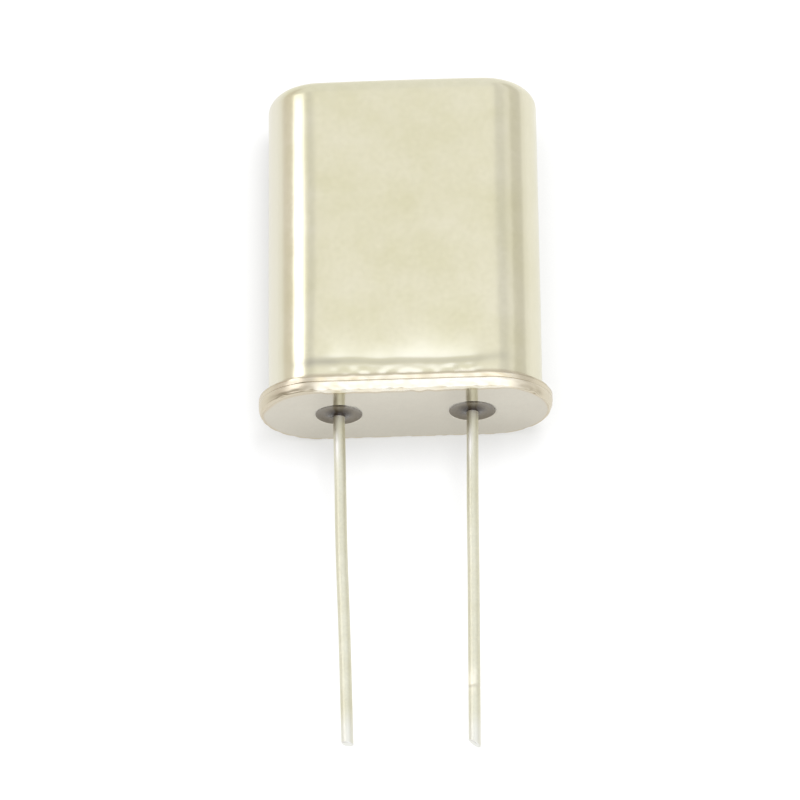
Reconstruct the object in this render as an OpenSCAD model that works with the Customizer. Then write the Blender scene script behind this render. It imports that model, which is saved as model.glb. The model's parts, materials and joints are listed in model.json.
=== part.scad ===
// Two-lead quartz crystal unit: a drawn metal can welded to a glass-sealed base,
// with the quartz blank on two spring clips inside. It lies on its back.
//
// Each piece is drawn standing: X across the leads, -Y out of the broad face that
// ends up on top, Z from the seat towards the can's closed end, the seat at Z = 0.
// lie_down() then lays the whole unit on its back.

/* [Can] */
// Width of the can across its round sides
can_w = 10.05; // [8:0.05:14]
// Depth of the can between its broad faces
can_d = 3.95; // [3.2:0.05:6]
// Height of the can's closed end above the seat
height = 12.85; // [10:0.05:18]
// Thickness of the drawn sheet
sheet = 0.24; // [0.15:0.01:0.35]
// Outside radius where the walls turn into the closed end
top_edge_r = 0.6; // [0.4:0.05:1]
// Outside radius where the walls turn out into the flange
root_r = 0.15; // [0.05:0.01:0.25]
// How far both flanges stand out past the can's walls
flange_overhang = 0.35; // [0.3:0.01:0.6]
// Rounding of the two flange edges that meet at the weld
weld_edge_r = 0.06; // [0.02:0.01:0.07]

/* [Base] */
// Thickness of the base's flange
base_flange_t = 0.34; // [0.25:0.01:0.6]
// Rounding of the base's outer edge on the seat side
seat_edge_r = 0.12; // [0.05:0.01:0.16]
// Rise of the base's platform inside the can, above the flange
platform_h = 0.7; // [0.5:0.05:1.2]
// Gap between the platform and the can's walls
platform_gap = 0.12; // [0.08:0.01:0.25]
// Rounding of the platform's upper edge
platform_edge_r = 0.15; // [0.05:0.01:0.3]

/* [Glass seals] */
// Diameter of each glass seal
seal_d = 1.7; // [1.1:0.05:2.2]
// Radius of the glass that climbs the lead on both sides
seal_collar_r = 0.12; // [0.05:0.01:0.15]
// Depth of the dished ring in the glass
seal_dish = 0.05; // [0.02:0.01:0.08]

/* [Leads] */
// Distance between the leads where they leave the base
lead_pitch = 4.88; // [4:0.02:6]
// Diameter of the lead wire
lead_d = 0.43; // [0.35:0.01:0.6]
// Length of the left lead below the seat
left_length = 12.8; // [5:0.1:20]
// Length of the right lead below the seat
right_length = 13; // [5:0.1:20]
// How far the left lead leans inwards, in degrees
left_lean = 1.1; // [0:0.05:3]
// How far the right lead leans inwards, in degrees
right_lean = 0.55; // [0:0.05:3]
// Slope of the left lead's sheared tip, in degrees
left_shear = 12; // [0:1:45]
// Slope of the right lead's sheared tip, in degrees
right_shear = 38; // [0:1:45]
// Height of the leads' inner ends above the platform
lead_stub = 0.9; // [0.5:0.05:1.5]
// Distance below the seat at which the leads start to lean
lean_start = 0.3; // [0.2:0.05:1]

/* [Quartz blank] */
// Gap between the blank's edge and the can's round sides
blank_side_gap = 0.7; // [0.5:0.05:1.5]
// Least gap between the blank and the platform or the closed end
blank_end_gap = 1.2; // [1:0.05:2]
// Thickness of the blank
blank_t = 0.25; // [0.1:0.01:0.4]
// Diameter of each electrode
electrode_d = 4.8; // [3:0.1:6]
// Thickness of each electrode film
electrode_t = 0.02; // [0.01:0.005:0.03]
// Width of the strip that takes each electrode to its clip
tab_w = 1.1; // [0.6:0.1:1.6]

/* [Spring clips] */
// Thickness of the clips' strip
clip_t = 0.12; // [0.08:0.01:0.2]
// Width of the clips' strip
clip_w = 0.9; // [0.7:0.05:1.4]
// Inside radius of the clips' fold
clip_fold_r = 0.1; // [0.05:0.01:0.3]
// Length of strip behind the lead's centre
clip_heel = 0.3; // [0.22:0.01:0.6]
// How far the blank's edge reaches through the clips, from their inner faces
clip_bite = 0.3; // [0.15:0.01:0.4]
// Gap between the blank and each long side of a clip's slot
slot_gap = 0.03; // [0.02:0.005:0.06]
// Gap between the blank and each end of a clip's slot
slot_end_gap = 0.1; // [0.05:0.01:0.3]
// Strip left above each slot
clip_tip = 0.4; // [0.2:0.05:0.8]

/* [Adhesive] */
// Radius of each dot of conductive adhesive
dot_r = 0.45; // [0.3:0.05:0.6]

/* [Hidden] */
$fn = 96;

// can and flange plans: two half rounds joined by straight sides
can_r = can_d / 2;
flange_r = can_r + flange_overhang;
straight_half = can_w / 2 - can_r;

// heights above the seat
base_top = base_flange_t + platform_h;
lead_top = base_top + lead_stub;
ceiling = height - sheet;

// radii of the round pieces
seal_r = seal_d / 2;
lead_r = lead_d / 2;
lead_x = lead_pitch / 2;

// the blank: the largest disc that keeps its gaps, half way up the space it hangs in
inner_w = can_w - 2 * sheet;
blank_d = min(inner_w - 2 * blank_side_gap, ceiling - base_top - 2 * blank_end_gap);
blank_r = blank_d / 2;
blank_z = (base_top + ceiling) / 2;

// the clips: their inner face, and the part of it that the blank crosses
clip_x = blank_r - clip_bite;
cross_half = sqrt(blank_r * blank_r - clip_x * clip_x);
slot_half = cross_half + slot_end_gap;
clip_top = blank_z + slot_half + clip_tip;
tab_end = clip_x - slot_gap;

// at rest the rims of the flange and of the closed end both touch the floor,
// so the tilt is that of the line tangent to their two roundings
rim_run = (height - top_edge_r) - (base_flange_t + sheet - weld_edge_r);
rim_drop = (flange_r - weld_edge_r) - (can_r - top_edge_r);
rim_reach = sqrt(rim_run * rim_run + rim_drop * rim_drop);
rest_tilt = acos((top_edge_r - weld_edge_r) / rim_reach) - atan2(rim_run, rim_drop);
rest_height = (base_flange_t + sheet - weld_edge_r) * sin(rest_tilt)
    + (flange_r - weld_edge_r) * cos(rest_tilt) + weld_edge_r;

// ends of the unit along Y once it lies down, which put the origin at mid length
end_y = (height - top_edge_r) * cos(rest_tilt) + (can_r - top_edge_r) * sin(rest_tilt)
    + top_edge_r;
tips_y = -max(left_length, right_length) * cos(rest_tilt);

// size of the blocks that cut off what lies past a plane
cut_size = 4 * lead_d;

// lays the standing unit on its back, its two rims on the floor
module lie_down()
    translate([0, -(end_y + tips_y) / 2, rest_height])
        rotate([-90 - rest_tilt, 0, 0])
            children();

// sweeps a half profile, drawn as distance from the middle and height, around a plan
// of two half rounds and two straight sides: way -1 is left and front, 1 right and back
module swept_plan() {
    for (way = [-1, 1]) {
        translate([way * straight_half, 0, 0])
            rotate([0, 0, -90 * way])
                rotate_extrude(angle = 180) children();
        mirror([0, max(-way, 0), 0])
            rotate([90, 0, 90])
                linear_extrude(2 * straight_half, center = true) children();
    }
}

// half profile of a solid block of radius r between two heights, its corners rounded
module block_profile(r, z0, z1, low_r, high_r) {
    translate([0, z0 + low_r]) square([r, z1 - z0 - low_r - high_r]);
    if (low_r > 0) {
        translate([0, z0]) square([r - low_r, 2 * low_r]);
        translate([r - low_r, z0 + low_r]) circle(low_r);
    }
    if (high_r > 0) {
        translate([0, z1 - 2 * high_r]) square([r - high_r, 2 * high_r]);
        translate([r - high_r, z1 - high_r]) circle(high_r);
    }
}

// what fills the corner between a wall at radius r and a ledge at height z
module corner_profile(r, z, corner_r)
    difference() {
        translate([r, z]) square(corner_r);
        translate([r + corner_r, z + corner_r]) circle(corner_r);
    }

// drawn cup: one sheet from the closed end down the walls and out into the flange
module can_profile()
    difference() {
        union() {
            block_profile(can_r, base_flange_t, height, 0, top_edge_r);
            block_profile(flange_r, base_flange_t, base_flange_t + sheet, weld_edge_r, weld_edge_r);
            corner_profile(can_r, base_flange_t + sheet, root_r);
        }
        block_profile(can_r - sheet, base_flange_t, ceiling, 0, top_edge_r - sheet);
        corner_profile(can_r - sheet, base_flange_t, root_r + sheet);
    }

module can()
    color([0.87, 0.85, 0.74])
        lie_down()
            swept_plan() can_profile();

// coined plate: a flange, and a platform that locates the can
module base_profile() {
    block_profile(flange_r, 0, base_flange_t, seat_edge_r, weld_edge_r);
    block_profile(can_r - sheet - platform_gap, base_flange_t / 2, base_top, 0, platform_edge_r);
}

module base()
    color([0.8, 0.77, 0.71])
        lie_down()
            difference() {
                swept_plan() base_profile();
                for (way = [-1, 1])
                    translate([way * lead_x, 0, -base_top])
                        cylinder(h = 3 * base_top, r = seal_r);
            }

// half profile of the lower half of a seal: a collar on the lead, then a dished ring
module seal_face_profile() {
    ring_half = (seal_r - lead_r - seal_collar_r) / 2;
    dish_r = (ring_half * ring_half + seal_dish * seal_dish) / (2 * seal_dish);
    difference() {
        translate([lead_r, 0]) square([seal_r - lead_r, base_top / 2]);
        translate([seal_r - ring_half, seal_dish - dish_r]) circle(dish_r);
    }
    difference() {
        translate([lead_r, -seal_collar_r]) square(seal_collar_r);
        translate([lead_r + seal_collar_r, -seal_collar_r]) circle(seal_collar_r);
    }
}

// glass bead fused between the base and a lead, alike on both sides
module glass_seal(x)
    color([0.25, 0.23, 0.23])
        lie_down()
            translate([x, 0, 0])
                rotate_extrude() {
                    seal_face_profile();
                    translate([0, base_top]) mirror([0, 1]) seal_face_profile();
                }

// wire that stands straight in its seal and leans by a few degrees below it
module lead(x, lean, length, shear)
    color([0.85, 0.83, 0.72])
        lie_down()
            translate([x, 0, -lean_start]) {
                difference() {
                    translate([0, 0, -lead_d])
                        cylinder(h = lead_top + lean_start + lead_d, r = lead_r);
                    rotate([0, lean / 2, 0]) below_plane();
                }
                difference() {
                    rotate([0, lean, 0])
                        translate([0, 0, lean_start - length])
                            cylinder(h = length - lean_start + lead_d, r = lead_r);
                    rotate([0, lean / 2, 0]) mirror([0, 0, 1]) below_plane();
                    rotate([0, lean, 0])
                        translate([lead_r, 0, lean_start - length])
                            rotate([0, shear, 0]) below_plane();
                }
            }

// block that fills the space just under the plane Z = 0
module below_plane()
    translate([-cut_size, -cut_size, -cut_size]) cube([2 * cut_size, 2 * cut_size, cut_size]);

// folded strip: a foot welded on the lead's end, and a slotted upright for the blank;
// way -1 is the left clip and 1 the right
module support_clip(way)
    color([0.78, 0.74, 0.62])
        lie_down()
            mirror([max(-way, 0), 0, 0])
                difference() {
                    rotate([90, 0, 0]) linear_extrude(clip_w, center = true) clip_outline();
                    translate([clip_x - clip_t, -blank_t / 2 - slot_gap, blank_z - slot_half])
                        cube([3 * clip_t, blank_t + 2 * slot_gap, 2 * slot_half]);
                }

// side view of a clip, across and up
module clip_outline() {
    fold_x = clip_x - clip_fold_r;
    fold_z = lead_top + clip_t + clip_fold_r;
    translate([lead_x - clip_heel, lead_top]) square([fold_x - lead_x + clip_heel, clip_t]);
    translate([clip_x, fold_z]) square([clip_t, clip_top - fold_z]);
    intersection() {
        difference() {
            translate([fold_x, fold_z]) circle(clip_fold_r + clip_t);
            translate([fold_x, fold_z]) circle(clip_fold_r);
        }
        translate([fold_x, lead_top]) square(clip_fold_r + clip_t);
    }
}

// round disc of quartz, thin from front to back
module quartz_blank()
    color([0.9, 0.93, 0.95, 0.5])
        lie_down()
            blank_disc(blank_r, blank_t, 0);

// disc about the blank's axis, its middle y behind the blank's
module blank_disc(r, thickness, y)
    translate([0, y, blank_z])
        rotate([90, 0, 0])
            cylinder(h = thickness, r = r, center = true);

// metal film on one face of the blank, with a strip out to one clip:
// face -1 is the front with its strip on the left, 1 is the back with it on the right
module electrode(face)
    color([0.88, 0.88, 0.9])
        lie_down() {
            film_y = face * (blank_t + electrode_t) / 2;
            blank_disc(electrode_d / 2, electrode_t, film_y);
            translate([face * tab_end / 2, film_y, blank_z])
                cube([tab_end, electrode_t, tab_w], center = true);
        }

// quarter of a ball of adhesive in the corner between a strip of film and its clip
module adhesive_dot(face)
    color([0.7, 0.7, 0.7])
        lie_down()
            intersection() {
                translate([face * clip_x, face * (blank_t / 2 + electrode_t), blank_z])
                    sphere(dot_r);
                translate([
                    face * (clip_x - dot_r), face * (blank_t / 2 + electrode_t + dot_r), blank_z
                ])
                    cube([2 * dot_r, 2 * dot_r, 2 * dot_r], center = true);
            }

can();
base();
glass_seal(-lead_x);  // glass_seal_left
glass_seal(lead_x);  // glass_seal_right
lead(-lead_x, -left_lean, left_length, left_shear);  // lead_left
lead(lead_x, right_lean, right_length, right_shear);  // lead_right
support_clip(-1);  // support_clip_left
support_clip(1);  // support_clip_right
quartz_blank();
electrode(-1);  // electrode_front
electrode(1);  // electrode_back
adhesive_dot(-1);  // adhesive_dot_left
adhesive_dot(1);  // adhesive_dot_right
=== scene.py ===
import json
import math

import bmesh
import bpy
import numpy as np
from mathutils import Matrix, Vector


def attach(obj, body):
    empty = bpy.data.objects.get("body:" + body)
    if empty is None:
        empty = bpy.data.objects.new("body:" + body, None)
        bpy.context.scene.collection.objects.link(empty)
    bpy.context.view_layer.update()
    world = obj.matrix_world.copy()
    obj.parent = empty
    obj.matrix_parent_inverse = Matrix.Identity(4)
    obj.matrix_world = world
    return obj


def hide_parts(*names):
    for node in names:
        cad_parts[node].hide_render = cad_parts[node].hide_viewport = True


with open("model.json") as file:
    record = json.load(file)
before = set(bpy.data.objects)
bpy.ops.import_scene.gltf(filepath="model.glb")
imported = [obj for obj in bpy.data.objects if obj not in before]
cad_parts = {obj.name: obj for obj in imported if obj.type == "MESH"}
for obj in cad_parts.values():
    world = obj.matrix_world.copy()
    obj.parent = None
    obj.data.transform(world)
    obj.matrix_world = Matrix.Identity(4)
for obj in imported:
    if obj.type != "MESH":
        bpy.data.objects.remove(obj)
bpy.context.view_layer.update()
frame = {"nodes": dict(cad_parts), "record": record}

# Pieces are worked out standing up, in millimetres: across the leads, depth towards
# the broad face that ends up on top, and rise from the seat to the closed end.
seatMount = next(m for m in frame["record"]["mounts"] if m["name"] == "seat")
seatPoint = np.array(seatMount["pos_m"])
acrossWay = np.array([1.0, 0.0, 0.0])
riseWay = -np.array(seatMount["axis"]) / np.linalg.norm(seatMount["axis"])
depthWay = np.cross(acrossWay, riseWay)
millimetre = 0.001


def layDown(points):
    # seat point + across * X + depth * out of the top face + rise * up the can
    ways = np.stack([acrossWay, depthWay, riseWay])
    return seatPoint + millimetre * (points @ ways)


# Sizes that several pieces share, in millimetres. Here and in each piece's dictionary, a
# pair is where a smooth step starts and ends, and ripples are (seed, how many, longest and
# shortest wave).
unit = {
    "straightHalf": 3.05,  # half length of the plan's straight sides
    "canRadius": 1.975,  # outside radius of the can's round sides
    "flangeRadius": 2.325,  # the same for both flanges
    "sheet": 0.24,  # thickness of the drawn sheet
    "seam": 0.34,  # rise of the joint between the two flanges
    "seamEdge": 0.028,  # rounding of both flanges' rims
    "seamFill": 0.75,  # how far weld metal fills the seam on the round ends
    "fillLeft": (3.5, 4.0),  # distances from the middle over which the filling starts
    "fillRight": (3.9, 4.4),
    "seamLine": 0.03,  # half width of the darker line along the seam
    "seamShade": 0.6,  # and how far the weld's colour gives way there
    "rimLeft": (2.9, 3.4),  # where the rims calm down on the left
    "leadAcross": 2.44,  # distance of each lead from the middle
    "leadRadius": 0.215,
    "sealRadius": 0.85,
    "baseTop": 1.04,  # rise of the platform inside the can
}


def easeStep(low, high, value):
    # 0 below low, 1 above high, and 3t^2 - 2t^3 between them
    t = np.clip((value - low) / (high - low), 0, 1)
    return t * t * (3 - 2 * t)


def hump(value, middle, width):
    # a bell: e to the minus square of the distance over the width
    return np.exp(-(((value - middle) / width) ** 2))


def arc(centre, radius, start, end, steps):
    # points of a circle about centre, (out, rise), from one angle to another in degrees
    angle = np.radians(np.linspace(start, end, steps + 1))
    out = centre[0] + radius * np.cos(angle)
    return np.stack([out, centre[1] + radius * np.sin(angle)], -1)


def run(first, last, steps):
    # evenly spaced points of a straight line, both ends kept
    t = np.linspace(0, 1, steps + 1)[:, None]
    return (1 - t) * np.array(first, float) + t * np.array(last, float)


def joined(*parts):
    # one profile out of several that share their end points
    return np.concatenate([parts[0]] + [p[1:] for p in parts[1:]])


def planWalk(roundSteps, straightSteps):
    # once round a plan of two half rounds and two straights: the point of the middle
    # line it belongs to, and the outward angle, so a point is middle + out * (cos, sin)
    half = unit["straightHalf"]
    rightRound = np.linspace(-90, 90, roundSteps, endpoint=False)
    front = np.linspace(half, -half, straightSteps, endpoint=False)
    onEnd, onSide = np.full(roundSteps, half), np.ones(straightSteps)
    middle = np.concatenate([onEnd, front, -onEnd, -front])
    turn = np.concatenate([rightRound, onSide * 90, rightRound + 180, onSide * 270])
    return middle, np.radians(turn)


def sweepPlan(profile, middle, turn):
    # every profile point (out, rise) carried round the plan:
    # across = middle + out * cos(turn), depth = out * sin(turn), rise unchanged
    out, rise = profile[:, 0][:, None], profile[:, 1][:, None]
    across = middle + out * np.cos(turn)
    depth = out * np.sin(turn)
    return np.stack([across, depth, np.broadcast_to(rise, across.shape)], -1)


def planPlace(points):
    # for any point: its outward unit vector from the middle line, its distance from
    # that line, and how far round the can's plan it is, in millimetres
    half, radius = unit["straightHalf"], unit["canRadius"]
    across, depth = points[:, 0], points[:, 1]
    middle = np.clip(across, -half, half)
    out = np.hypot(across - middle, depth)
    safe = np.maximum(out, 1e-9)
    way = np.stack([(across - middle) / safe, depth / safe, np.zeros_like(out)], -1)
    turn = np.arctan2(depth, across - middle)
    quarter = radius * np.pi / 2
    right = np.where(across >= 0, radius * turn, radius * (np.mod(turn, 2 * np.pi) - np.pi))
    left = 2 * quarter + 2 * half + right
    front = quarter + half - middle
    back = 3 * quarter + 3 * half + middle
    onEnd = np.where(across > 0, right, left)
    onSide = np.where(depth > 0, front, back)
    return way, out, np.where(np.abs(across) > half, onEnd, onSide)


planLoop = 2 * np.pi * unit["canRadius"] + 4 * unit["straightHalf"]
ripplePeak = 1.4  # how many times the root of its count such a sum reaches


def ripples(around, rise, seed, count, longest, shortest):
    # sum of cosines that close up round the plan, each with its own whole number of
    # turns, its own slope along the rise and its own phase; about -1 to 1
    dice = np.random.default_rng(seed)
    turns = np.round(dice.uniform(planLoop / longest, planLoop / shortest, count))
    turns = turns * dice.choice([-1, 1], count)
    slopes = dice.uniform(1 / longest, 1 / shortest, count) * dice.choice([-1, 1], count)
    phases = dice.uniform(0, 2 * np.pi, count)
    angle = 2 * np.pi * (around[:, None] / planLoop * turns + rise[:, None] * slopes) + phases
    return np.cos(angle).sum(-1) / math.sqrt(count) / ripplePeak


def gridFaces(rows, columns, start, closed):
    # quads of a grid whose vertices run row by row; closed joins the last column to the
    # first: corners (row, column), (row, next), (row + 1, next), (row + 1, column)
    row = np.arange(rows - 1)[:, None] * columns
    column = np.arange(columns if closed else columns - 1)[None, :]
    after = (column + 1) % columns
    corners = [row + column, row + after, row + columns + after, row + columns + column]
    return start + np.stack(np.broadcast_arrays(*corners), -1).reshape(-1, 4)


def mergeDoubles(work):
    bmesh.ops.remove_doubles(work, verts=work.verts, dist=1e-4)
    bmesh.ops.dissolve_degenerate(work, edges=work.edges, dist=1e-5)


def faceOutwards(work):
    bmesh.ops.recalc_face_normals(work, faces=work.faces)


def rework(mesh, change):
    # the mesh opened for editing, changed and written back
    work = bmesh.new()
    work.from_mesh(mesh)
    change(work)
    work.to_mesh(mesh)
    work.free()


def makePiece(name, sheets, shape, masks, finish):
    # sheets are (grid of points, closed) pairs in the standing frame. Their doubles are
    # merged, masks(points) paints attributes, shape(points) moves them, and the piece is
    # laid down.
    points, faces, start = [], [], 0
    for grid, closed in sheets:
        rows, columns = grid.shape[:2]
        points.append(grid.reshape(-1, 3))
        faces.append(gridFaces(rows, columns, start, closed))
        start += rows * columns
    mesh = bpy.data.meshes.new(name)
    mesh.from_pydata(np.concatenate(points), [], np.concatenate(faces).tolist())
    rework(mesh, mergeDoubles)
    flat = np.empty(len(mesh.vertices) * 3)
    mesh.vertices.foreach_get("co", flat)
    standing = flat.reshape(-1, 3)
    painted = masks(standing)
    mesh.vertices.foreach_set("co", layDown(shape(standing)).ravel())
    for label, values in painted.items():
        layer = mesh.attributes.new(label, "FLOAT", "POINT")
        layer.data.foreach_set("value", np.asarray(values, np.float32))
    rework(mesh, faceOutwards)
    mesh.polygons.foreach_set("use_smooth", np.ones(len(mesh.polygons), bool))
    mesh.update()
    mesh.materials.append(finish)
    piece = bpy.data.objects.new(name, mesh)
    bpy.context.scene.collection.objects.link(piece)
    print("made", name, len(mesh.vertices), "vertices")
    return piece


def linear(red, green, blue):
    # a colour as seen, 0 to 255 a channel, turned into the linear one that a shader takes
    seen = np.array([red, green, blue]) / 255
    straight = np.where(seen <= 0.04045, seen / 12.92, ((seen + 0.055) / 1.055) ** 2.4)
    return (*[float(v) for v in straight], 1.0)


def feed(tree, socket, value):
    # a link when the value is another node's output, or else a constant
    if isinstance(value, bpy.types.NodeSocket):
        tree.links.new(value, socket)
    else:
        socket.default_value = value


def fill(tree, node, *values, **inputs):
    # a node's inputs in order, or by name with underscores for spaces
    for socket, value in zip(node.inputs, values):
        feed(tree, socket, value)
    for label, value in inputs.items():
        feed(tree, node.inputs[label.replace("_", " ")], value)


def addNode(tree, kind, *values, **inputs):
    # nodes stand in rows of eight under the ready-made ones, in the order they are made
    row, column = divmod(len(tree.nodes), 8)
    node = tree.nodes.new(kind)
    node.location = (200 * column, -300 * (row + 2))
    fill(tree, node, *values, **inputs)
    return node


def calculate(tree, operation, *values):
    node = addNode(tree, "ShaderNodeMath")
    node.operation = operation
    fill(tree, node, *values)
    return node.outputs[0]


def mixColour(tree, share, first, second, blend="MIX"):
    # first where the share is 0, second where it is 1
    node = addNode(tree, "ShaderNodeMix")
    node.data_type = "RGBA"
    node.blend_type = blend
    for index, value in ((0, share), (6, first), (7, second)):  # factor and the two colours
        feed(tree, node.inputs[index], value)
    return node.outputs[2]


def useGroup(tree, group, **inputs):
    node = addNode(tree, "ShaderNodeGroup")
    node.node_tree = group
    fill(tree, node, **inputs)
    return node.outputs


def startGroup(name, inputs, outputs):
    # an empty node group: an input or output is a number, a colour, or a vector with None
    kinds = {float: "Float", tuple: "Color", type(None): "Vector"}
    group = bpy.data.node_groups.new(name, "ShaderNodeTree")
    for way, sockets in (("INPUT", inputs), ("OUTPUT", outputs)):
        for label, value in sockets.items():
            kind = "NodeSocket" + kinds[type(value)]
            socket = group.interface.new_socket(name=label, in_out=way, socket_type=kind)
            if value is not None:
                socket.default_value = value
    into = addNode(group, "NodeGroupInput").outputs
    return group, into, addNode(group, "NodeGroupOutput")


def addNoise(tree, where, scale, detail, roughness):
    values = dict(Vector=where, Scale=scale, Detail=detail, Roughness=roughness)
    return addNode(tree, "ShaderNodeTexNoise", **values).outputs["Fac"]


def makeClouding():
    # slow cloudy patches and fine speckle that shift a plated colour and its gloss
    grey = (0.8, 0.8, 0.8, 1.0)
    group, into, outOf = startGroup("platingClouds", {
        "Vector": None,
        "Colour": grey,
        "Cloud Colour": (0.7, 0.7, 0.7, 1.0),
        "Cloud Scale": 500.0,
        "Cloud Amount": 0.5,
        "Speckle Scale": 6000.0,
        "Speckle Amount": 0.1,
        "Roughness": 0.2,
        "Roughness Spread": 0.05,
    }, {"Colour": grey, "Roughness": 0.2, "Height": 0.0})
    cloud = addNoise(group, into["Vector"], into["Cloud Scale"], 3.0, 0.55)
    clear = addNode(group, "ShaderNodeMapRange", cloud, 0.32, 0.68).outputs["Result"]
    amount = calculate(group, "MULTIPLY", clear, into["Cloud Amount"])
    tint = mixColour(group, amount, into["Colour"], into["Cloud Colour"])
    speckle = addNoise(group, into["Vector"], into["Speckle Scale"], 2.0, 0.6)
    darkest = calculate(group, "SUBTRACT", 1.0, into["Speckle Amount"])
    shade = addNode(group, "ShaderNodeMapRange", speckle, 0.3, 0.7, darkest, 1.0)
    flecked = mixColour(group, 1.0, tint, shade.outputs["Result"], "MULTIPLY")
    offset = calculate(group, "SUBTRACT", speckle, 0.5)
    spread, middle = into["Roughness Spread"], into["Roughness"]
    rough = calculate(group, "MULTIPLY_ADD", offset, spread, middle)
    fill(group, outOf, Colour=flecked, Roughness=rough, Height=speckle)
    return group


def makeDrawLines():
    # fine lines along the rise, as a die leaves them: noise squeezed across, stretched along
    inputs = {"Vector": None, "Fineness": 9000.0, "Stretch": 0.03}
    group, into, outOf = startGroup("dieLines", inputs, {"Height": 0.0})
    apart = addNode(group, "ShaderNodeSeparateXYZ", into["Vector"]).outputs
    along = calculate(group, "MULTIPLY", apart["Y"], into["Stretch"])
    squeezed = addNode(group, "ShaderNodeCombineXYZ", apart["X"], along, apart["Z"])
    lines = addNoise(group, squeezed.outputs[0], into["Fineness"], 2.0, 0.5)
    fill(group, outOf, Height=lines)
    return group


platingClouds = makeClouding()
dieLines = makeDrawLines()


def readMask(tree, name):
    node = addNode(tree, "ShaderNodeAttribute")
    node.attribute_name = name
    return node.outputs["Fac"]


def makeFinish(name, look, metallic, **values):
    # A clouded colour, then the colour of each painted attribute laid over it in turn, then
    # the weld bead's own clouding where the piece has one. Gloss and fine relief come from
    # the same groups, and constants go straight on the shader's sockets.
    material = bpy.data.materials.new(name)
    material.use_nodes = True
    tree = material.node_tree
    where = addNode(tree, "ShaderNodeTexCoord").outputs["Object"]
    plating = useGroup(tree, platingClouds, Vector=where, **look["plating"])
    colour, rough, height = plating["Colour"], plating["Roughness"], plating["Height"]
    for label, tint in look.get("tints", {}).items():
        colour = mixColour(tree, readMask(tree, label), colour, tint)
    if "bead" in look:
        bead = useGroup(tree, platingClouds, Vector=where, **look["bead"])
        browned = readMask(tree, "browned")
        heated = mixColour(tree, browned, bead["Colour"], look["heated"])
        weld = readMask(tree, "weld")
        colour = mixColour(tree, weld, colour, heated)
        rough = calculate(tree, "MULTIPLY_ADD", weld, look["beadRough"], rough)
    if "lines" in look:
        lines = useGroup(tree, dieLines, Vector=where, **look["lines"])["Height"]
        height = calculate(tree, "MULTIPLY_ADD", lines, look["lineShare"], height)
    relief = dict(Strength=1.0, Distance=look["relief"], Height=height)
    normal = addNode(tree, "ShaderNodeBump", **relief).outputs["Normal"]
    values.update(Base_Color=colour, Roughness=rough, Normal=normal, Metallic=metallic)
    fill(tree, tree.nodes["Principled BSDF"], **values)
    return material


def seamFill(across, out, rise):
    # outward move of points beside the seam on the round ends, where weld metal fills it:
    # share * (flange radius - out)
    edge, flange = unit["seamEdge"], unit["flangeRadius"]
    ends = easeStep(*unit["fillLeft"], -across) + easeStep(*unit["fillRight"], across)
    beside = (np.abs(rise - unit["seam"]) < edge + 2e-3) & (out > flange - 0.04)
    return np.where(beside, unit["seamFill"] * ends * (flange - out), 0)


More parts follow.
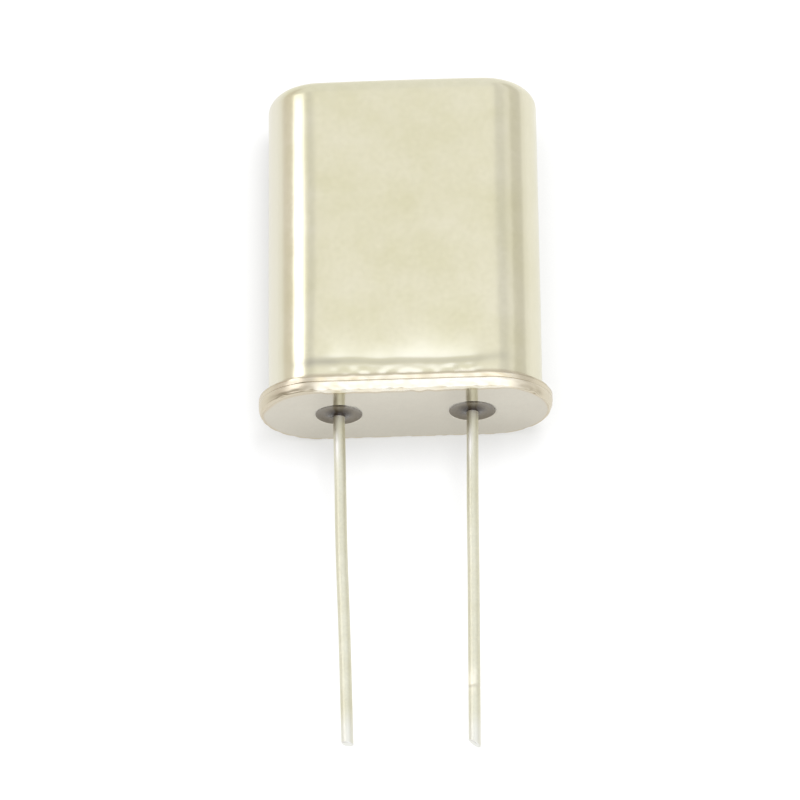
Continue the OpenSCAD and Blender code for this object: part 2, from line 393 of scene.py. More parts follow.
can = {
    "height": 12.85,
    "topEdge": 0.6,  # rounding into the closed end
    "root": 0.15,  # rounding into the flange
    "finerBelow": 2.6,  # rise under which the wall's rings are closer
    "crown": 0.045,  # how far the closed end bulges
    "crownHalf": 4.6,  # and half the length over which it does
    "crownDrop": 0.9,  # and how far down the rounding it fades
    "wave": 0.0022,  # unevenness of the drawn walls
    "waveRipples": (3, 26, 5.0, 1.3),
    "barrel": 0.03,  # how far the broad faces belly out half way up
    "barrelEnds": (2.6, 3.6),
    "creaseRise": 1.235,  # rise of the crease above the seat
    "creaseWave": 0.018,  # how far it wanders
    "creaseRipples": (5, 7, 9, 1.6),
    "creaseRight": 0.13,  # how much it climbs towards the right end
    "rightClimb": (2.6, 4.0),
    "creaseLeft": 0.065,  # and towards the left end
    "leftClimb": (0.6, 2.2),
    "creaseKick": 0.035,  # how far the wall steps out at the crease
    "creaseWidth": 0.15,
    "neck": 0.068,  # how far the wall necks in above the crease
    "neckLength": 0.65,
    "neckRipples": (11, 6, 6, 1.2),
    "flare": 0.03,  # a wider, slower neck right of the middle
    "flareLength": 1.1,
    "flareAt": 1.1,
    "flareHalf": 1.5,
    "footNeck": 0.03,  # how far it necks in again under the crease
    "footRun": 0.5,  # and over what height
    "footRipples": (13, 14, 3.0, 0.6),
    "footEnds": (2.35, 3.2),  # distance from the middle over which all this fades
    "footTop": (3.2, 4.4),  # and rise over which it does
    "footLeft": (1.2, 2.4),  # where the second neck weakens on the left
    "wall": (1.2, 1.9),  # distances from the middle line: into the wall,
    "flange": (2.1, 2.26),  # into the flange,
    "rim": (2.18, 2.3),  # and into the rim
    "rimWave": 0.008,  # unevenness of the welded rim
    "rimRipples": (21, 22, 4.0, 0.5),
    "heatLeft": (2.95, 3.35),  # where welding browned the rims
    "heatRight": (3.8, 4.3),
    "flankSheenEnds": (4.15, 4.7),  # where the round sides get a painted paler sheen
    "weldIn": (2.2, 2.31),  # distance from the middle line over which the weld starts
    "creaseShade": (2.0, 2.8),  # where the painted shade in the crease grows stronger on the left
    "creaseHalf": 0.18,
    "creaseEnds": (3.2, 4.3),
    "rootRise": 0.165,  # height of the root's painted shade line above the flange
    "rootHalf": 0.05,
    "plating": dict(
        Colour=linear(231, 226, 200), Cloud_Colour=linear(222, 217, 184), Cloud_Scale=420.0,
        Cloud_Amount=0.9, Speckle_Scale=5200.0, Speckle_Amount=0.03, Roughness=0.2,
        Roughness_Spread=0.05,
    ),
    "tints": {
        # painted paler, less yellow sheen on the round sides
        "paintedFlankSheen": linear(227, 223, 205),
        # painted shade that darkens the crease
        "paintedCreaseShade": linear(196, 192, 172),
        # painted shade line where the wall turns into the flange; on the rim, the colour of the
        # seam's dark line
        "root": linear(202, 192, 168),
    },
    "bead": dict(
        Colour=linear(254, 248, 227), Cloud_Colour=linear(246, 230, 191), Cloud_Scale=1600.0,
        Cloud_Amount=0.7, Speckle_Amount=0.0,
    ),
    "heated": linear(214, 204, 181),
    "beadRough": 0.12,  # what the bead adds to the roughness
    "lines": {},
    "lineShare": 0.5,
    "relief": 0.6e-6,  # metres
}


def canProfile():
    # the drawn sheet's outline, out and rise: closed end, outer wall, root, flange and its
    # rim, underside, inner root and wall, ceiling
    c, sheet, seam, edge = can, unit["sheet"], unit["seam"], unit["seamEdge"]
    outer, flange, top = unit["canRadius"], unit["flangeRadius"], can["height"]
    inner, rim, over = outer - sheet, flange - edge, seam + sheet
    topIn, shoulder = outer - c["topEdge"], top - c["topEdge"]
    rootOut, foot = outer + c["root"], over + c["root"]
    return joined(
        run((0, top), (topIn, top), 9),
        arc((topIn, shoulder), c["topEdge"], 90, 0, 16),
        run((outer, shoulder), (outer, c["finerBelow"]), 34),
        run((outer, c["finerBelow"]), (outer, foot), 44),
        arc((rootOut, foot), c["root"], 180, 270, 8),
        run((rootOut, over), (rim, over), 4),
        arc((rim, over - edge), edge, 90, 0, 6),
        run((flange, over - edge), (flange, seam + edge), 5),
        arc((rim, seam + edge), edge, 0, -90, 6),
        run((rim, seam), (rootOut, seam), 2),
        arc((rootOut, foot), c["root"] + sheet, 270, 180, 8),
        run((inner, foot), (inner, shoulder), 8),
        arc((topIn, shoulder), c["topEdge"] - sheet, 0, 90, 6),
        run((topIn, top - sheet), (0, top - sheet), 4),
    )


def heatTint(across):
    # how much welding browned the rims: a smooth step towards each round end, the right
    # one a little weaker
    return easeStep(*can["heatLeft"], -across) + 0.9 * easeStep(*can["heatRight"], across)


def creaseLine(across, depth, around):
    # rise of the crease round the can: level, with slow waves, and on the top face a climb
    # towards each end
    c = can
    waves = c["creaseWave"] * ripples(around, around * 0, *c["creaseRipples"])
    climb = c["creaseRight"] * easeStep(*c["rightClimb"], across)
    climb = climb + c["creaseLeft"] * easeStep(*c["leftClimb"], -across)
    return c["creaseRise"] + waves + climb * easeStep(-1.5, 0.5, depth)


def footMove(across, around, rise, over):
    # outward move of the wall's foot, over being the height above the crease:
    # smooth step down over the crease - neck * e^(-over / its length) with slow waves
    # - flare * bell across * e^(-over / its length) - foot neck * depth under the crease
    c, above = can, np.maximum(over, 0)
    neck = c["neck"] * np.exp(-above / c["neckLength"])
    neck = neck * (1 + 0.2 * ripples(around, rise * 0, *c["neckRipples"]))
    wider = hump(across, c["flareAt"], c["flareHalf"]) * np.exp(-above / c["flareLength"])
    neck = neck + c["flare"] * wider
    kick = c["creaseKick"] * (1 - easeStep(-c["creaseWidth"], c["creaseWidth"], over))
    uneven = 1 + 0.6 * ripples(around, rise * 1.5, *c["footRipples"])
    weaker = 1 - 0.6 * easeStep(*c["footLeft"], -across)
    under = c["footNeck"] * uneven * weaker * np.clip(-over / c["footRun"], 0, 1)
    fade = 1 - 0.85 * easeStep(*c["footEnds"], np.abs(across))
    return (kick - neck - under) * fade * (1 - easeStep(*c["footTop"], rise))


def shapeCan(points):
    # outward move = slow waves + belly 4 * s * (1 - s) over the wall's height + foot, on the
    # outer wall only, + rim waves + seam filling; up move = crown, a parabola across
    c, top = can, can["height"]
    way, out, around = planPlace(points)
    across, depth, rise = points[:, 0], points[:, 1], points[:, 2]
    over = rise - creaseLine(across, depth, around)
    s = (rise - c["creaseRise"]) / (top - c["topEdge"] - c["creaseRise"])
    ends = 1 - easeStep(*c["barrelEnds"], np.abs(across))
    belly = c["barrel"] * 4 * np.clip(s * (1 - s), 0, 1) * ends
    waves = c["wave"] * ripples(around, rise, *c["waveRipples"])
    onWall = easeStep(*c["wall"], out) * (1 - easeStep(top - 0.7, top - 0.1, rise))
    move = (waves + belly + footMove(across, around, rise, over)) * onWall
    move = move * (1 - easeStep(*c["flange"], out))
    inner = (rise < top - unit["sheet"] - 1e-3) & (out < unit["canRadius"] - 0.5 * unit["sheet"])
    move = np.where(inner | (rise < unit["seam"] + 1e-3), 0, move)
    rim = easeStep(*c["rim"], out) * easeStep(0.3, 0.36, rise)
    calm = 1 - 0.6 * easeStep(*unit["rimLeft"], -across)
    move = move + rim * calm * c["rimWave"] * ripples(around, rise * 2, *c["rimRipples"])
    move = move + seamFill(across, out, rise)
    crown = c["crown"] * np.clip(1 - (across / c["crownHalf"]) ** 2, 0, 1)
    moved = points + way * move[:, None]
    moved[:, 2] += crown * easeStep(top - c["crownDrop"], top, rise)
    return moved


def maskCan(points):
    # weld is 1 on the rim between seam and top edge; the crease's painted shade is a bell about
    # the crease, stronger on the left; the root's painted shade line is a bell where the wall
    # turns out into the flange; the painted paler sheen is 1 on the left round side and weaker on
    # the right one
    c = can
    way, out, around = planPlace(points)
    across, depth, rise = points[:, 0], points[:, 1], points[:, 2]
    radius, top = unit["canRadius"], unit["seam"] + unit["sheet"]
    over = rise - creaseLine(across, depth, around)
    outside = out > radius - 0.02
    onRim = easeStep(*c["weldIn"], out) * outside
    seamLine = unit["seamShade"] * hump(rise, unit["seam"], unit["seamLine"])
    topLine = easeStep(top - 0.1, top - 0.06, rise)
    paintedCreaseShade = 0.55 + 0.45 * easeStep(*c["creaseShade"], -across)
    paintedCreaseShade = paintedCreaseShade * hump(over, -0.02, c["creaseHalf"]) * outside * (out < radius + 0.02)
    root = hump(rise, top + c["rootRise"], c["rootHalf"]) * outside
    root = root * (1 - easeStep(2.1, 2.16, out))
    paintedFlankSheen = easeStep(*c["flankSheenEnds"], -across) + 0.4 * easeStep(*c["flankSheenEnds"], across)
    return {
        "weld": onRim * (1 - seamLine) * (1 - topLine),
        "paintedCreaseShade": paintedCreaseShade * (1 - easeStep(*c["creaseEnds"], np.abs(across))),
        "browned": heatTint(across),
        "paintedFlankSheen": paintedFlankSheen,
        "root": np.maximum(root, onRim),
    }


canSheets = [(sweepPlan(canProfile(), *planWalk(92, 74)), True)]
canFinish = makeFinish("nickelSatin", can, 1.0)
canShell = makePiece("can_shell", canSheets, shapeCan, maskCan, canFinish)
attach(canShell, "root")
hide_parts("can")


base = {
    "seatEdge": 0.05,  # rounding of the seat face's edge
    "bulge": 1.05,  # how strongly the rim rounds off towards the seat
    "platform": 1.615,  # radius of the platform's round sides
    "platformEdge": 0.15,
    "bulgeTop": 0.33,  # rise at which it starts
    "rimRough": 0.01,  # unevenness that welding leaves on the rim
    "rimRipples": (31, 30, 3.0, 0.45),
    "rimOut": (2.25, 2.32),  # distances from the middle line over which it starts
    "scallop": 0.04,  # how deep it scallops the seat face's edge
    "lipRipples": (37, 24, 2.6, 0.4),
    "lipOut": (2.2, 2.3),
    "lipTop": (0.03, 0.15),
    "sag": 0.012,  # how far the seat face sinks in between the leads
    "sagHalf": 0.8,
    "sagOut": (1.6, 2.2),
    "beadDepth": 2.25,  # distance from the middle line at which the bead ends
    "frontDepth": 0.25,  # how much wider it is along the front,
    "frontFrom": (1.2, 1.8),
    "frontLeft": (2.7, 3.3),
    "frontRight": (3.3, 4.0),
    "leftDepth": 0.16,  # and at the left end
    "leftFrom": (2.6, 3.1),
    "beadWave": 0.06,  # how far its inner edge wanders
    "beadRipples": (41, 20, 2.2, 0.5),
    "plating": dict(
        Colour=linear(213, 208, 194), Cloud_Colour=linear(208, 202, 188), Cloud_Scale=350.0,
        Cloud_Amount=0.9, Speckle_Scale=7000.0, Speckle_Amount=0.03, Roughness=0.14,
        Roughness_Spread=0.08,
    ),
    "tints": {"edge": linear(204, 192, 168)},  # painted shade beside the bead, and the seam's dark line
    "bead": dict(
        Colour=linear(255, 252, 240), Cloud_Colour=linear(249, 233, 194), Cloud_Scale=1500.0,
        Cloud_Amount=0.6, Speckle_Amount=0.0,
    ),
    "heated": can["heated"],
    "beadRough": 0.2,
    "relief": 0.8e-6,
}


def baseOutline(steps, middleSteps):
    # right half of the plan from the middle of its front side to the middle of its back
    # side, then the line that parts the halves: middle point and outward angle for the
    # first, share of the depth for the second
    half = unit["straightHalf"]
    third = steps // 3
    straight = np.linspace(0, half, third, endpoint=False)
    turns = np.linspace(90, -90, steps - 2 * third, endpoint=False)
    middle = np.concatenate([straight, np.full(len(turns), half), np.linspace(half, 0, third + 1)])
    turn = np.concatenate([np.full(third, 90.0), turns, np.full(third + 1, -90.0)])
    share = np.linspace(-1, 1, middleSteps + 1)[1:-1]
    return middle, np.radians(turn), share


def plateEdge(outline, radius):
    # the half plan at a distance from its middle line: middle + radius * (cos, sin), then
    # the parting line, (0, share * radius)
    middle, turn, share = outline
    edge = np.stack([middle + radius * np.cos(turn), radius * np.sin(turn)], -1)
    return np.concatenate([edge, np.stack([np.zeros_like(share), share * radius], -1)])


def boreCircle(outline):
    # points of the bore's circle that face the points of the seat face's edge:
    # centre + seal radius * unit vector towards each
    away = plateEdge(outline, unit["flangeRadius"] - base["seatEdge"]) - [unit["leadAcross"], 0]
    away /= np.linalg.norm(away, axis=-1, keepdims=True)
    return away * unit["sealRadius"] + [unit["leadAcross"], 0]


def borePlate(outline, radius, rise, rings, side):
    # flat half plate with a bore, rings from the bore's circle straight out to the edge:
    # (1 - t) * bore + t * edge, where t = 1 - (1 - s)^2 crowds the rings at the edge
    t = 1 - (1 - np.linspace(0, 1, rings + 1)[:, None, None]) ** 2
    flat = (1 - t) * boreCircle(outline) + t * plateEdge(outline, radius)
    rises = np.full(flat.shape[:2] + (1,), rise)
    return np.concatenate([flat * [side, 1], rises], -1)


def baseSheets():
    # each half: seat face, platform, side from the seat's edge up to the platform, bore
    b, seam, edge = base, unit["seam"], unit["seamEdge"]
    flange, top, platform = unit["flangeRadius"], unit["baseTop"], base["platform"]
    rim, seatOut, topOut = flange - edge, flange - b["seatEdge"], platform - b["platformEdge"]
    profile = joined(
        arc((seatOut, b["seatEdge"]), b["seatEdge"], 270, 360, 10),
        run((flange, b["seatEdge"]), (flange, seam - edge), 7),
        arc((rim, seam - edge), edge, 0, 90, 6),
        run((rim, seam), (platform, seam), 4),
        run((platform, seam), (platform, top - b["platformEdge"]), 5),
        arc((topOut, top - b["platformEdge"]), b["platformEdge"], 0, 90, 6),
    )
    outline = baseOutline(210, 46)
    half = sweepPlan(profile, *outline[:2])
    bore = boreCircle(outline)
    rises = np.linspace(0, top, 7)[:, None]
    sheets = []
    for side in (1, -1):
        sheets.append((borePlate(outline, seatOut, 0.0, 40, side), True))
        sheets.append((borePlate(outline, topOut, top, 6, side), True))
        sheets.append((half * [side, 1, 1], False))
        wall = np.broadcast_arrays(bore[:, 0] * side, bore[:, 1], rises)
        sheets.append((np.stack(wall, -1), True))
    return sheets


def shapeBase(points):
    # outward move = rim roughness - bulge * (distance under the seam)^2 + seam filling;
    # up move = the seat edge's scallops and a slight sag of the seat face between the leads
    b = base
    way, out, around = planPlace(points)
    across, rise = points[:, 0], points[:, 2]
    left = easeStep(*unit["rimLeft"], -across)
    top = b["bulgeTop"]
    side = easeStep(*b["rimOut"], out) * (1 - easeStep(top - 0.05, top, rise)) * (1 - 0.7 * left)
    rough = b["rimRough"] * ripples(around, rise * 3, *b["rimRipples"])
    bulge = b["bulge"] * (1 - 0.3 * left) * np.clip(top - rise, 0, top - b["seatEdge"]) ** 2
    move = rough * side - bulge * easeStep(2.1, 2.3, out) + seamFill(across, out, rise)
    moved = points + way * move[:, None]
    lip = easeStep(*b["lipOut"], out) * (1 - easeStep(*b["lipTop"], rise))
    dips = ripples(around, rise * 0, *b["lipRipples"])
    moved[:, 2] += b["scallop"] * lip * np.maximum(dips, 0)
    sag = b["sag"] * hump(across, 0, b["sagHalf"]) * (1 - easeStep(*b["sagOut"], out))
    moved[:, 2] += sag * (rise < 1e-3)
    return moved


def maskBase(points):
    # weld is 1 outside the bead's wavy inner edge, which comes further in along the front; edge is
    # a bell of painted shade beside that edge on the seat face, and another bell at the seam for
    # its dark line
    b = base
    way, out, around = planPlace(points)
    across, depth, rise = points[:, 0], points[:, 1], points[:, 2]
    front = easeStep(*b["frontFrom"], depth) * (1 - easeStep(*b["frontLeft"], -across))
    front = front * (1 - easeStep(*b["frontRight"], across))
    leftEnd = easeStep(*b["leftFrom"], -across) * easeStep(0, 1, depth)
    waves = ripples(around, rise * 0, *b["beadRipples"]) + easeStep(1, 4, across)
    inner = b["beadDepth"] - front * (b["frontDepth"] - b["beadWave"] * waves)
    inner = np.minimum(inner, b["beadDepth"] - b["leftDepth"] * leftEnd)
    seamLine = hump(rise, unit["seam"], unit["seamLine"]) * easeStep(2.2, 2.25, out)
    weld = easeStep(inner - 0.01, inner + 0.05, out) * (1 - unit["seamShade"] * seamLine)
    return {
        "weld": weld * (1 - easeStep(0.33, 0.335, rise)),
        "edge": np.maximum(hump(out, inner - 0.03, 0.08) * (rise < 0.01), seamLine),
        "browned": heatTint(across),
    }


baseFinish = makeFinish("nickelBase", base, 1.0)
basePlate = makePiece("base_plate", baseSheets(), shapeBase, maskBase, baseFinish)
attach(basePlate, "root")
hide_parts("base")


seal = {
    "climbLeft": 0.11,  # how far the glass climbs each lead
    "climbRight": 0.06,
    "dish": 0.05,  # depth of the ring between collar and bore
    "swell": 0.008,  # unevenness of its face
    "shadeFrom": 0.02,  # gap between the lead and the start of the fade of the collar's painted shade
    "shadeTo": 0.62,  # distance from the lead's middle at which it ends
    "plating": dict(
        Colour=linear(126, 115, 95), Cloud_Colour=linear(140, 130, 110), Cloud_Scale=1500.0,
        Cloud_Amount=0.8, Speckle_Scale=9000.0, Speckle_Amount=0.12, Roughness=0.14,
        Roughness_Spread=0.06,
    ),
    # painted shade on the glass round each lead
    "tints": {"collar": linear(48, 35, 22)},
    "relief": 1.2e-6,
}


def sealProfile(climb):
    # closed half outline of the glass, out and rise: dished ring, collar, bore of the lead,
    # collar and ring mirrored at the platform, outer side; the ring is dish * (1 - t^2) deep
    inner, outer, top = unit["leadRadius"], unit["sealRadius"], unit["baseTop"]
    ringIn = inner + climb
    t = np.linspace(1, -1, 19)
    out = (outer + ringIn) / 2 + t * (outer - ringIn) / 2
    ring = np.stack([out, seal["dish"] * (1 - t * t)], -1)
    seatSide = joined(ring, arc((ringIn, -climb), climb, 90, 180, 8))
    topSide = seatSide[::-1] * [1, -1] + [0, top]
    bore = run((inner, -climb), (inner, top + climb), 6)
    return joined(seatSide, bore, topSide, run((outer, top), (outer, 0), 6))


def revolve(profile, across, steps):
    # a ring about a line along the rise: (across + out * cos, out * sin, rise)
    angle = np.linspace(0, 2 * np.pi, steps, endpoint=False)
    out, rise = profile[:, 0][:, None], profile[:, 1][:, None]
    x = across + out * np.cos(angle)
    return np.stack([x, out * np.sin(angle), np.broadcast_to(rise, x.shape)], -1)


sealFinish = makeFinish("sealGlassDark", seal, 0.0, IOR=1.52)


def makeSeal(side, name, node, climb):
    across = side * unit["leadAcross"]

    def shapeSeal(points):
        # rise + swell * bell about the ring's middle * cos(2 * angle), on the outer face
        turn = np.arctan2(points[:, 1], points[:, 0] - across)
        out = np.hypot(points[:, 0] - across, points[:, 1])
        face = hump(out, 0.55, 0.2) * (points[:, 2] < 0.5)
        moved = points.copy()
        moved[:, 2] += seal["swell"] * face * np.cos(2 * turn + side)
        return moved

    def maskSeal(points):
        # the collar's painted shade fades from 1 at the lead to 0 part of the way out
        out = np.hypot(points[:, 0] - across, points[:, 1])
        shadeFrom = unit["leadRadius"] + seal["shadeFrom"]
        return {"collar": 1 - easeStep(shadeFrom, seal["shadeTo"], out)}

    sheets = [(revolve(sealProfile(climb), across, 96), True)]
    piece = makePiece(name, sheets, shapeSeal, maskSeal, sealFinish)
    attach(piece, "root")
    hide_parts(node)


makeSeal(-1, "seal_left", "glass_seal_left", seal["climbLeft"])
makeSeal(1, "seal_right", "glass_seal_right", seal["climbRight"])


lead = {
    "top": 1.94,  # rise of the inner end
    "leanStart": 0.3,  # distance below the seat at which the wire starts to lean
    "tipEdge": 0.03,  # rounding of the wire's ends
    "finerEnd": 3.4,  # last stretch, with closer rings
    "shearRun": 0.9,  # stretch over which the sheared end takes its slope
    # where the colours below lie: distances below the seat and, in radii, to the right or left of
    # the wire's line; the foot's painted highlight, the painted shade past it and the gleam's
    # painted highlight come in turn; the gleam's pairs are a bell's middle and width
    # length of the foot's painted highlight
    "footRun": 0.3,
    "footShadeShare": 0.75,
    "footShadeDown": (0.5, 1.0),
    "footShadeLeft": (0.3, 0.9),
    "gleamDown": (1.35, 0.65),
    "gleamRight": (-0.45, 0.4),
    "tipRun": (1.5, 0.4),  # counted back from the wire's end
    # lean and shear in degrees; length below the seat; sway is (how far to the right, at
    # which distance below the seat, over what length); nick is (distance below the seat,
    # length, depth) of a flat pinched into the wire's front
    "left": dict(lean=1.1, length=12.8, shear=12, sway=(-0.03, 5.2, 2.4), nick=None),
    "right": dict(
        lean=0.55, length=13, shear=32, sway=(-0.015, 3.4, 2.0), nick=(10.7, 0.6, 0.02),
    ),
    "plating": dict(
        Colour=linear(234, 232, 210), Cloud_Colour=linear(227, 224, 198), Cloud_Scale=900.0,
        Cloud_Amount=0.9, Speckle_Scale=9000.0, Speckle_Amount=0.08, Roughness=0.48,
        Roughness_Spread=0.15,
    ),
    "tints": {
        "nickHighlight": linear(250, 246, 225),  # painted highlight beside the nick
        "nick": linear(224, 220, 198),
        "cut": linear(243, 243, 237),  # the sheared end
        "tip": linear(236, 235, 222),  # the last stretch before it
        "foot": linear(250, 247, 232),  # painted highlight where the wire leaves the glass
        "footShade": linear(166, 158, 140),  # painted shade on the left side of the wire's foot, standing in for a reflected contact shadow
        "gleam": linear(255, 254, 248),  # bright side past it
    },
    "lines": dict(Fineness=16000.0, Stretch=0.05),
    "lineShare": 0.7,
    "relief": 0.7e-6,
}


def leadRings(length):
    # distances along the wire from its inner end, and the radius at each, rounded ends:
    # edge * (1 - cos) along and radius - edge + edge * sin out
    total = lead["top"] + length
    edge, radius = lead["tipEdge"], unit["leadRadius"]
    finer = total - lead["finerEnd"]
    quarter = np.radians(np.linspace(0, 90, 5))
    near = edge * (1 - np.cos(quarter))
    cap = np.linspace(0, radius - edge, 5)
    rounding = radius - edge + edge * np.sin(quarter)
    body = [np.linspace(edge, finer, 90)[1:], np.linspace(finer, total - edge, 90)[1:]]
    body = np.concatenate(body)
    along = [np.zeros(4), near, body, total - near[::-1][1:], np.full(4, total)]
    out = [cap[:-1], rounding, np.full(len(body), radius), rounding[::-1][1:], cap[::-1][1:]]
    return np.concatenate(along), np.concatenate(out)


def wireSheet(side, lean, length, shear, sway):
    # circle of radius out carried down the wire: straight past the seal, then leaning
    # inwards; the last stretch is shortened by (radius - x) * tan(shear)
    along, out = leadRings(length)
    angle = np.linspace(0, 2 * np.pi, 64, endpoint=False)
    below = along - lead["top"]
    past = np.maximum(below - lead["leanStart"], 0)
    bend = math.radians(lean)
    swayed = sway[0] * hump(below, sway[1], sway[2])
    centre = side * unit["leadAcross"] - side * past * math.sin(bend) + swayed
    down = np.where(past > 0, lead["leanStart"] + past * math.cos(bend), below)
    tilt = np.where(past > 0, bend, 0)[:, None]
    localX, depth = out[:, None] * np.cos(angle), out[:, None] * np.sin(angle)
    weight = easeStep(length - lead["shearRun"], length, below)[:, None]
    shorter = (unit["leadRadius"] - localX) * math.tan(math.radians(shear)) * weight
    x = centre[:, None] + localX * np.cos(tilt) + side * shorter * np.sin(tilt)
    rise = -down[:, None] - side * localX * np.sin(tilt) + shorter * np.cos(tilt)
    return np.stack([x, depth, rise], -1)


leadFinish = makeFinish("leadTinned", lead, 1.0)


def makeLead(side, name, node, lean, length, shear, sway, nick):
    radius = unit["leadRadius"]

    def alongWire(points):
        # distance below the seat, and how far right of the wire's line in radii
        where = -points[:, 2]
        inwards = np.maximum(where, 0) * math.sin(math.radians(lean))
        return where, (points[:, 0] - side * (unit["leadAcross"] - inwards)) / radius

    def shapeLead(points):
        # inward move of the front = depth * share of the front squared on the nick's flat,
        # and a shallow ring at its lower end
        moved = points.copy()
        if nick:
            place, stretch, deep = nick
            where, right = alongWire(points)
            front = np.clip(points[:, 1] / radius, 0, 1)
            flat = easeStep(place - stretch, place - stretch + 0.1, where)
            flat = flat * (1 - easeStep(place - 0.04, place + 0.02, where))
            ring = hump(where, place + 0.03, 0.05)
            moved[:, 1] -= deep * flat * front ** 2 + 0.01 * ring * front
            moved[:, 0] -= 0.006 * ring * right
        return moved

    def maskLead(points):
        # nick is a bell at the ring and the painted highlight beside the nick one above it, on the
        # left; tip is 1 on the pale last stretch and cut on the sheared end; the foot's painted
        # highlight, the painted shade and the gleam's painted highlight follow each other down
        # from the glass, the last two on the left side
        where, right = alongWire(points)
        end = length - radius * (1 - right) * math.tan(math.radians(shear))
        cut = easeStep(end - 0.06, end - 0.03, where)
        place = nick[0] if nick else 2 * length
        footShade = lead["footShadeShare"] * easeStep(*lead["footShadeLeft"], -right)
        tipFrom, tipTo = lead["tipRun"]
        return {
            "nick": hump(where, place + 0.03, 0.06),
            "nickHighlight": hump(where, place - 0.2, 0.42) * (1 - easeStep(0, 0.7, right)),
            "tip": easeStep(length - tipFrom, length - tipTo, where) * (1 - cut),
            "cut": cut,
            "foot": hump(np.maximum(where, 0), 0, lead["footRun"]),
            "footShade": footShade * (1 - easeStep(*lead["footShadeDown"], where)),
            "gleam": hump(where, *lead["gleamDown"]) * hump(right, *lead["gleamRight"]),
        }

    sheets = [(wireSheet(side, lean, length, shear, sway), True)]
    piece = makePiece(name, sheets, shapeLead, maskLead, leadFinish)
    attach(piece, "root")
    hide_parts(node)


makeLead(-1, "wire_left", "lead_left", **lead["left"])
makeLead(1, "wire_right", "lead_right", **lead["right"])


# The can hides the inner pieces: they keep their CAD meshes and get their own finishes.
inside = {
    "plating": dict(
        Cloud_Scale=800.0, Cloud_Amount=0.8, Speckle_Scale=7000.0, Speckle_Amount=0.06,
        Roughness_Spread=0.1,
    ),
    "relief": 1.5e-6,
    # colour, clouds' colour, roughness
    "clip": (linear(200, 192, 166), linear(188, 178, 150), 0.3),
    "quartz": (linear(236, 240, 240), linear(228, 234, 235), 0.16),
    "silver": (linear(232, 231, 228), linear(222, 220, 214), 0.28),
    "adhesive": (linear(176, 174, 170), linear(158, 155, 150), 0.55),
}


def finishNodes(nodes, name, kind, metallic, **values):
    colour, cloud, rough = inside[kind]
    plating = dict(inside["plating"], Colour=colour, Cloud_Colour=cloud, Roughness=rough)
    look = {"plating": plating, "relief": inside["relief"]}
    finish = makeFinish(name, look, metallic, **values)
    for node in nodes:
        piece = frame["nodes"][node]
        piece.data.materials.clear()
        piece.data.materials.append(finish)


finishNodes(("support_clip_left", "support_clip_right"), "clipNickel", "clip", 1.0)
finishNodes(("quartz_blank",), "quartzPolished", "quartz", 0.0, IOR=1.54, Transmission_Weight=0.85)
finishNodes(("electrode_front", "electrode_back"), "silverFilm", "silver", 1.0)
finishNodes(("adhesive_dot_left", "adhesive_dot_right"), "silverAdhesive", "adhesive", 0.6)
print("inside finished")


stage = {
    "halfAcross": 0.016,  # the paper is small: past it the studio shows in the metal
    "halfAlong": 0.021,
    "white": 0.34,  # how much light the paper sends back
    "glow": 0.66,  # what it adds for the camera and for reflections
    "glowTint": (1.0, 1.0, 0.98),
    "mirrored": 0.87,  # share of the glow that reflections see
    "contact": 0.0024,  # how far from what stands on it the glow fades
    "contactDepth": 0.4,  # and by how much at most
}


def makeFloor():
    # paper = diffuse white + a glow that only the camera, reflections and glass see, and that
    # fades for the camera by up to contactDepth where ambient occlusion finds something near
    x, y, tint = stage["halfAcross"], stage["halfAlong"], stage["glowTint"]
    mesh = bpy.data.meshes.new("floor_sheet")
    mesh.from_pydata([(-x, -y, 0), (x, -y, 0), (x, y, 0), (-x, y, 0)], [], [(0, 1, 2, 3)])
    floor = bpy.data.objects.new("floor_sheet", mesh)
    bpy.context.scene.collection.objects.link(floor)
    material = bpy.data.materials.new("floorPaper")
    material.use_nodes = True
    tree = material.node_tree
    tree.nodes.clear()
    path = addNode(tree, "ShaderNodeLightPath").outputs
    near = addNode(tree, "ShaderNodeAmbientOcclusion", Distance=stage["contact"])
    near.samples = 4
    mirrored = calculate(tree, "MULTIPLY", path["Is Glossy Ray"], stage["mirrored"])
    kept = calculate(tree, "MAXIMUM", near.outputs["AO"], mirrored)
    faded = (*[c * (1 - stage["contactDepth"]) for c in tint], 1.0)
    colour = mixColour(tree, kept, faded, (*tint, 1.0))
    seen = calculate(tree, "MAXIMUM", path["Is Camera Ray"], mirrored)
    seen = calculate(tree, "MAXIMUM", seen, path["Is Transmission Ray"])
    strength = calculate(tree, "MULTIPLY", seen, stage["glow"])
    white = (*[stage["white"]] * 3, 1.0)
    paper = addNode(tree, "ShaderNodeBsdfDiffuse", Color=white).outputs[0]
    glow = addNode(tree, "ShaderNodeEmission", colour, strength).outputs[0]
    both = addNode(tree, "ShaderNodeAddShader", paper, glow).outputs[0]
    # from below the paper is clear, so the underside can be seen
    below = addNode(tree, "ShaderNodeNewGeometry").outputs["Backfacing"]
    clear = addNode(tree, "ShaderNodeBsdfTransparent").outputs[0]
    pick = addNode(tree, "ShaderNodeMixShader", below, both, clear)
    addNode(tree, "ShaderNodeOutputMaterial", pick.outputs[0])
    mesh.materials.append(material)


makeFloor()
print("floor laid")


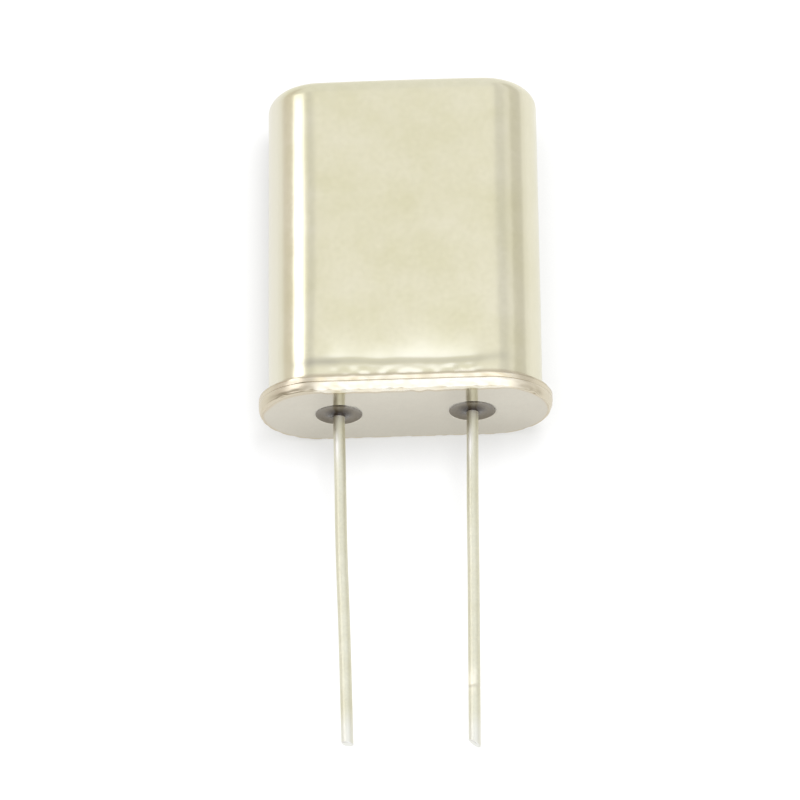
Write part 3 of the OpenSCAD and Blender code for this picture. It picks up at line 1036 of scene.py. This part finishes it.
# The studio round the unit. A direction's turn is its angle from straight up towards the
# right, in degrees; its lean is its share along the can, -1 at the leads' side, 1 at the
# closed end. Each panel covers a stretch of turn and of lean, with soft edges.
studio = {
    "walls": (1.0, 1.0, 1.0),
    "keyTurn": 14,  # lamp that gives the floor its shadow: degrees right of straight up
    "keyLean": 10,  # and towards the closed end
    "keyStrength": 1.3,
    "keySpread": 22,
    "panels": [
        # turn from, turn to, lean from, lean to, soft edge of turn and of lean, colour
        (-179, 179, 0.56, 1.2, 4, 0.1, (0.95, 0.96, 0.99)),  # far end
        (-20, 64, -0.8, 0.33, 5, 0.16, (1.2, 1.22, 1.3)),  # soft box over the leads
        (-20, 30, 0.0, 0.3, 5, 0.08, (1.42, 1.46, 1.68)),  # its brighter upper edge
        (-59, -36, 0.02, 0.49, 3, 0.08, (2.5, 2.5, 2.7)),  # strip light on the left
        (-31, -13, -0.2, 0.6, 5, 0.1, (0.9, 0.9, 0.92)),  # gap beside it, with a
        (-31, -19, -0.2, 0.6, 5, 0.1, (0.8, 0.8, 0.82)),  # darker left half
        (-91, -62, 0.0, 0.9, 4, 0.1, (0.81, 0.77, 0.76)),  # pale board under it
        (-92, -86.5, 0.0, 0.43, 3, 0.03, (0.93, 0.93, 0.93)),  # the board's light foot
        (-112, -23, -0.97, -0.06, 6, 0.16, (0.36, 0.33, 0.28)),  # dark room past the lamps
        (66, 150, -0.97, -0.02, 6, 0.16, (0.67, 0.65, 0.62)),  # and its lit side
        (27, 48, 0.2, 0.9, 4, 0.1, (0.82, 0.82, 0.85)),  # grey flags on the right
        (48, 58, 0.2, 0.9, 4, 0.1, (0.93, 0.93, 0.96)),
        (61, 91, 0.2, 0.9, 4, 0.1, (0.755, 0.745, 0.74)),
    ],
}


def panelMask(tree, turn, lean, panel):
    # product of four smooth steps: in over turn from, out over turn to, and the same for lean
    turnFrom, turnTo, leanFrom, leanTo, turnSoft, leanSoft = panel[:6]
    edges = (
        (turn, turnFrom, turnSoft / 2), (turn, turnTo, -turnSoft / 2),
        (lean, leanFrom, leanSoft / 2), (lean, leanTo, -leanSoft / 2),
    )
    product = None
    for value, edge, soft in edges:
        step = addNode(tree, "ShaderNodeMapRange", value, edge - soft, edge + soft)
        step.interpolation_type = "SMOOTHSTEP"
        share = step.outputs["Result"]
        product = calculate(tree, "MULTIPLY", product, share) if product else share
    return product


def makeWorld():
    # the panels laid over the walls in turn; the camera sees plain white behind the unit
    world = bpy.data.worlds.new("studio")
    bpy.context.scene.world = world
    world.use_nodes = True
    tree = world.node_tree
    tree.nodes.clear()
    way = addNode(tree, "ShaderNodeTexCoord").outputs["Generated"]
    apart = addNode(tree, "ShaderNodeSeparateXYZ", way).outputs
    angle = calculate(tree, "ARCTAN2", apart["X"], apart["Z"])
    turn = calculate(tree, "DEGREES", angle)
    colour = (*studio["walls"], 1.0)
    for panel in studio["panels"]:
        mask = panelMask(tree, turn, apart["Y"], panel)
        colour = mixColour(tree, mask, colour, (*panel[-1], 1.0))
    lit = addNode(tree, "ShaderNodeBackground", colour, 1.0).outputs[0]
    white = addNode(tree, "ShaderNodeBackground", (1, 1, 1, 1), 1.0).outputs[0]
    camera = addNode(tree, "ShaderNodeLightPath").outputs["Is Camera Ray"]
    pick = addNode(tree, "ShaderNodeMixShader", camera, lit, white)
    addNode(tree, "ShaderNodeOutputWorld", pick.outputs[0])


def makeKey():
    # a soft lamp for the floor and the dull pieces; the metal shows the studio alone
    light = bpy.data.lights.new("key", "SUN")
    light.energy = studio["keyStrength"]
    light.angle = math.radians(studio["keySpread"])
    lamp = bpy.data.objects.new("key", light)
    bpy.context.scene.collection.objects.link(lamp)
    turn, lean = math.radians(studio["keyTurn"]), math.radians(studio["keyLean"])
    level = math.cos(lean)
    towards = Vector((math.sin(turn) * level, math.sin(lean), math.cos(turn) * level))
    lamp.rotation_euler = towards.to_track_quat("Z", "Y").to_euler()
    lamp.visible_glossy = False


makeWorld()
makeKey()
print("lit")


view = {
    "azimuth": 6.58,  # degrees from the lead side towards the right
    "elevation": 67.98,
    "roll": -7.81,
    "distance": 174.07,
    "lens": 213.7,
    "sensor": 36,
    "aim": (-0.216, 0.705, 2.0),
    "clip": (0.01, 10),  # metres
}


def makeCamera():
    # looks along -back at the aim; right and up are turned about back by the roll
    turn, height = math.radians(view["azimuth"]), math.radians(view["elevation"])
    level = math.cos(height)
    back = Vector((math.sin(turn) * level, -math.cos(turn) * level, math.sin(height)))
    right = (-back).cross(Vector((0, 0, 1))).normalized()
    up = back.cross(right)
    roll = math.radians(view["roll"])
    rolledRight = right * math.cos(roll) + up * math.sin(roll)
    rolledUp = up * math.cos(roll) - right * math.sin(roll)
    place = (Vector(view["aim"]) + back * view["distance"]) * millimetre
    lens = bpy.data.cameras.new("camera")
    lens.lens = view["lens"]
    lens.sensor_width = view["sensor"]
    lens.clip_start, lens.clip_end = view["clip"]
    camera = bpy.data.objects.new("camera", lens)
    bpy.context.scene.collection.objects.link(camera)
    turnMatrix = Matrix((rolledRight, rolledUp, back)).transposed()
    camera.matrix_world = Matrix.Translation(place) @ turnMatrix.to_4x4()
    bpy.context.scene.camera = camera


makeCamera()
print("camera placed")
bpy.context.scene.view_settings.view_transform = "Standard"
